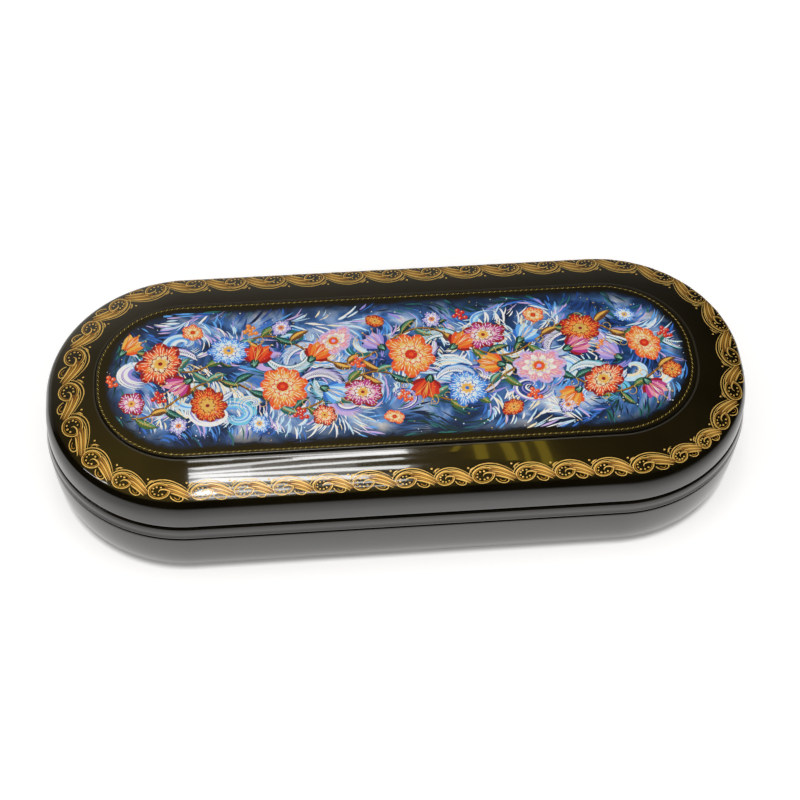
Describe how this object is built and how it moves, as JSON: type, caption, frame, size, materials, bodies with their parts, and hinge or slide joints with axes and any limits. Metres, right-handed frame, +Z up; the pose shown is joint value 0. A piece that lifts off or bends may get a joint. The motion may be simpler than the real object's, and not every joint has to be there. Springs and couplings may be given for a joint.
{
  "type": "eyeglass case",
  "caption": "Shallow black-lacquered eyeglass case with rounded ends, a hinged domed lid with a painted oval panel and gold scroll border, and a velvet lining.",
  "frame": {"origin": "middle of the flat underside, which rests on the table", "axes": "+X along the case, +Y to the hinges at the back, +Z up through the lid"},
  "size_m": [0.1714, 0.0764, 0.0301],
  "materials": {
    "black_lacquer": "gloss",
    "picture_paint": "gloss",
    "red_velvet": "matte",
    "brass": "polished"
  },
  "bodies": {
    "base": {"base_shell": "black_lacquer", "rim_ring": "black_lacquer", "base_floor_pad": "red_velvet", "base_wall_lining": "red_velvet", "left_hinge_base_leaf": "brass", "left_hinge_pin": "brass", "right_hinge_base_leaf": "brass", "right_hinge_pin": "brass", "left_hinge_base_nail_1": "brass", "left_hinge_base_nail_2": "brass", "right_hinge_base_nail_1": "brass", "right_hinge_base_nail_2": "brass"},
    "lid": {"lid_shell": "black_lacquer", "lid_lining": "red_velvet", "picture_panel": "picture_paint", "left_hinge_lid_leaf": "brass", "right_hinge_lid_leaf": "brass", "left_hinge_lid_nail_1": "brass", "left_hinge_lid_nail_2": "brass", "right_hinge_lid_nail_1": "brass", "right_hinge_lid_nail_2": "brass"}
  },
  "joints": [
    {"name": "lid_hinge", "type": "hinge", "parent": "base", "child": "lid", "pos_m": [0, 0.0376, 0.01835], "axis": [-1, 0, 0], "range_deg": [0, 105]}
  ]
}
